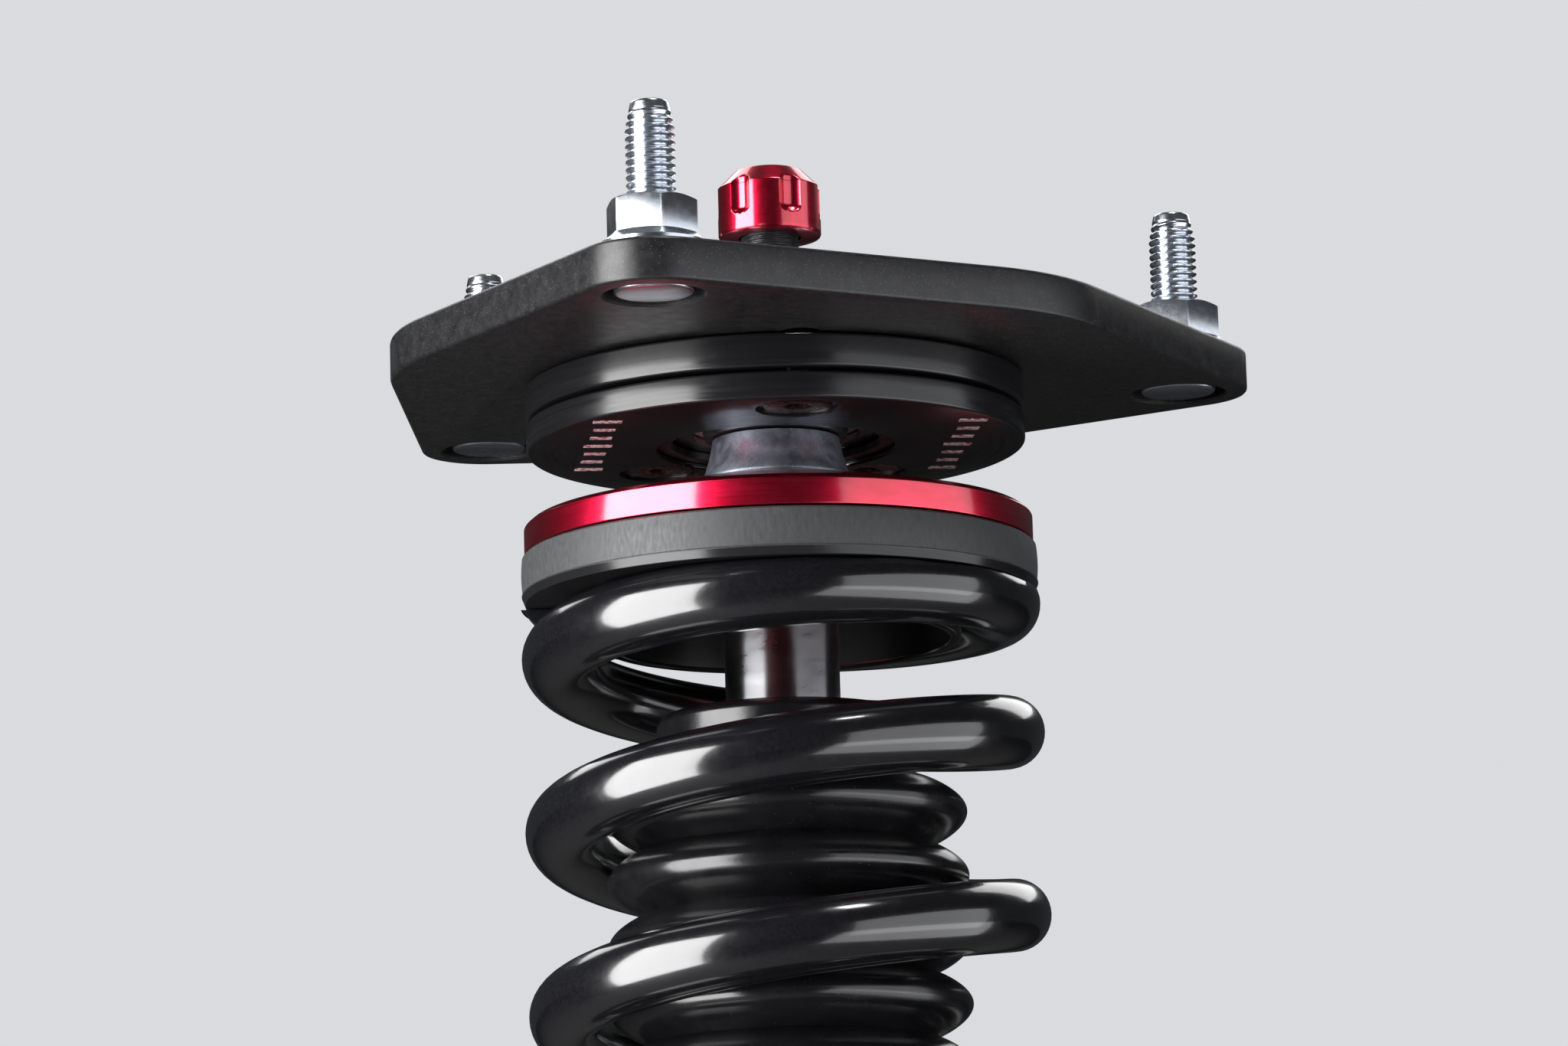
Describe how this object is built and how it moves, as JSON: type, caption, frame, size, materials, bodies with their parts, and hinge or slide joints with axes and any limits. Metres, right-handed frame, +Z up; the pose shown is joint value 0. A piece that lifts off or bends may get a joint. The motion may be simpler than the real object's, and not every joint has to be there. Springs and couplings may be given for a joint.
{
  "type": "coilover strut",
  "caption": "Height-adjustable coilover strut: camber plate with pillow ball, coil spring, bellows boot, threaded damper body, lock collars and a two-ear knuckle bracket.",
  "frame": {"origin": "on the damper's axis, level with the camber plate's top face, which seats against the underside of the car's strut tower", "axes": "+Z up along the damper; +Y along the camber slot, away from the knuckle bracket's ears; +X completes the right-handed frame"},
  "size_m": [0.1457, 0.1446, 0.5048],
  "materials": {
    "black_anodised": "black anodised, satin",
    "red_anodised": "red anodised",
    "zinc": "bright zinc plate",
    "black_oxide": "black oxide",
    "bearing_steel": "ground steel",
    "chrome": "hard chrome, polished",
    "dark_steel": "mottled blue-grey steel",
    "aluminium": "machined",
    "bronze": "bronze",
    "grey_polymer": "matte grey, lightly scratched",
    "black_rubber": "semi-gloss rubber",
    "polyurethane": "foamed polyurethane",
    "powder_coat": "gloss black powder coat",
    "black_paint": "gloss black",
    "ptfe": "woven PTFE liner"
  },
  "bodies": {
    "top_mount": {"camber_plate": "black_anodised", "mount_stud_a": "zinc", "mount_stud_b": "zinc", "mount_stud_c": "zinc", "flange_nut_a": "zinc", "flange_nut_b": "zinc", "flange_nut_c": "zinc"},
    "camber_carriage": {"bearing_housing": "black_anodised", "retainer_disc": "black_anodised", "clamp_plate": "black_anodised", "clamp_screw_a": "black_oxide", "clamp_screw_b": "black_oxide", "clamp_screw_c": "black_oxide", "bearing_outer_race": "bearing_steel", "bearing_circlip": "dark_steel"},
    "ball_liner": {"bearing_liner": "ptfe"},
    "damper_rod": {"pillow_ball": "bearing_steel", "neck_spacer": "dark_steel", "top_spacer": "dark_steel", "rod_top_nut": "zinc", "piston_rod": "chrome", "thrust_washer": "bearing_steel", "rebound_spacer": "aluminium", "piston_valve": "aluminium", "piston_band": "bronze", "piston_nut": "zinc", "bump_stop": "polyurethane"},
    "damping_adjuster": {"adjuster_stem": "dark_steel", "adjuster_knob": "red_anodised"},
    "spring_seat": {"needle_thrust_cage": "bronze", "upper_spring_seat": "red_anodised", "spring_isolator": "grey_polymer", "coil_spring": "powder_coat", "dust_boot": "black_rubber"},
    "perch": {"spring_perch": "red_anodised", "lower_spring_isolator": "grey_polymer"},
    "perch_lock": {"perch_lock_collar": "red_anodised"},
    "strut_body": {"threaded_body": "black_paint", "gland_nut": "black_anodised", "rod_wiper": "black_rubber", "oil_seal": "black_rubber", "rod_guide": "aluminium", "inner_cylinder": "bearing_steel", "base_valve": "bronze"},
    "lower_bracket": {"bracket_sleeve": "black_paint", "bracket_ear_left": "black_paint", "bracket_ear_right": "black_paint", "hose_tab": "black_paint"},
    "bracket_lock": {"bracket_lock_collar": "red_anodised"}
  },
  "joints": [
    {"name": "camber_slide", "type": "slide", "parent": "top_mount", "child": "camber_carriage", "axis": [0, 1, 0], "range_m": [-0.006, 0.006]},
    {"name": "ball_tilt_fore_aft", "type": "hinge", "parent": "camber_carriage", "child": "ball_liner", "pos_m": [0, 0, -0.0122], "axis": [0, 1, 0], "range_deg": [-10, 10]},
    {"name": "ball_tilt_lateral", "type": "hinge", "parent": "ball_liner", "child": "damper_rod", "pos_m": [0, 0, -0.0122], "axis": [1, 0, 0], "range_deg": [-10, 10]},
    {"name": "damping_adjust", "type": "hinge", "parent": "damper_rod", "child": "damping_adjuster", "pos_m": [0, 0, 0.02], "axis": [0, 0, 1], "range_deg": [-165, 165]},
    {"name": "steer_swivel", "type": "hinge", "parent": "damper_rod", "child": "spring_seat", "pos_m": [0, 0, -0.0256], "axis": [0, 0, 1], "range_deg": [-40, 40]},
    {"name": "spring_stroke", "type": "slide", "parent": "spring_seat", "child": "perch", "axis": [0, 0, 1], "range_m": [0, 0.055], "stiffness_N_per_m": 60000, "springref_m": -0.005, "deforming": ["coil_spring", "dust_boot"]},
    {"name": "perch_lock_turn", "type": "hinge", "parent": "perch", "child": "perch_lock", "pos_m": [0, 0, -0.272], "axis": [0, 0, 1], "range_deg": [-60, 60]},
    {"name": "preload_travel", "type": "slide", "parent": "perch", "child": "strut_body", "axis": [0, 0, 1], "range_m": [0, 0.004]},
    {"name": "ride_height_travel", "type": "slide", "parent": "strut_body", "child": "lower_bracket", "axis": [0, 0, 1], "range_m": [-0.015, 0.015]},
    {"name": "bracket_lock_turn", "type": "hinge", "parent": "lower_bracket", "child": "bracket_lock", "pos_m": [0, 0, -0.385], "axis": [0, 0, 1], "range_deg": [-60, 60]}
  ]
}
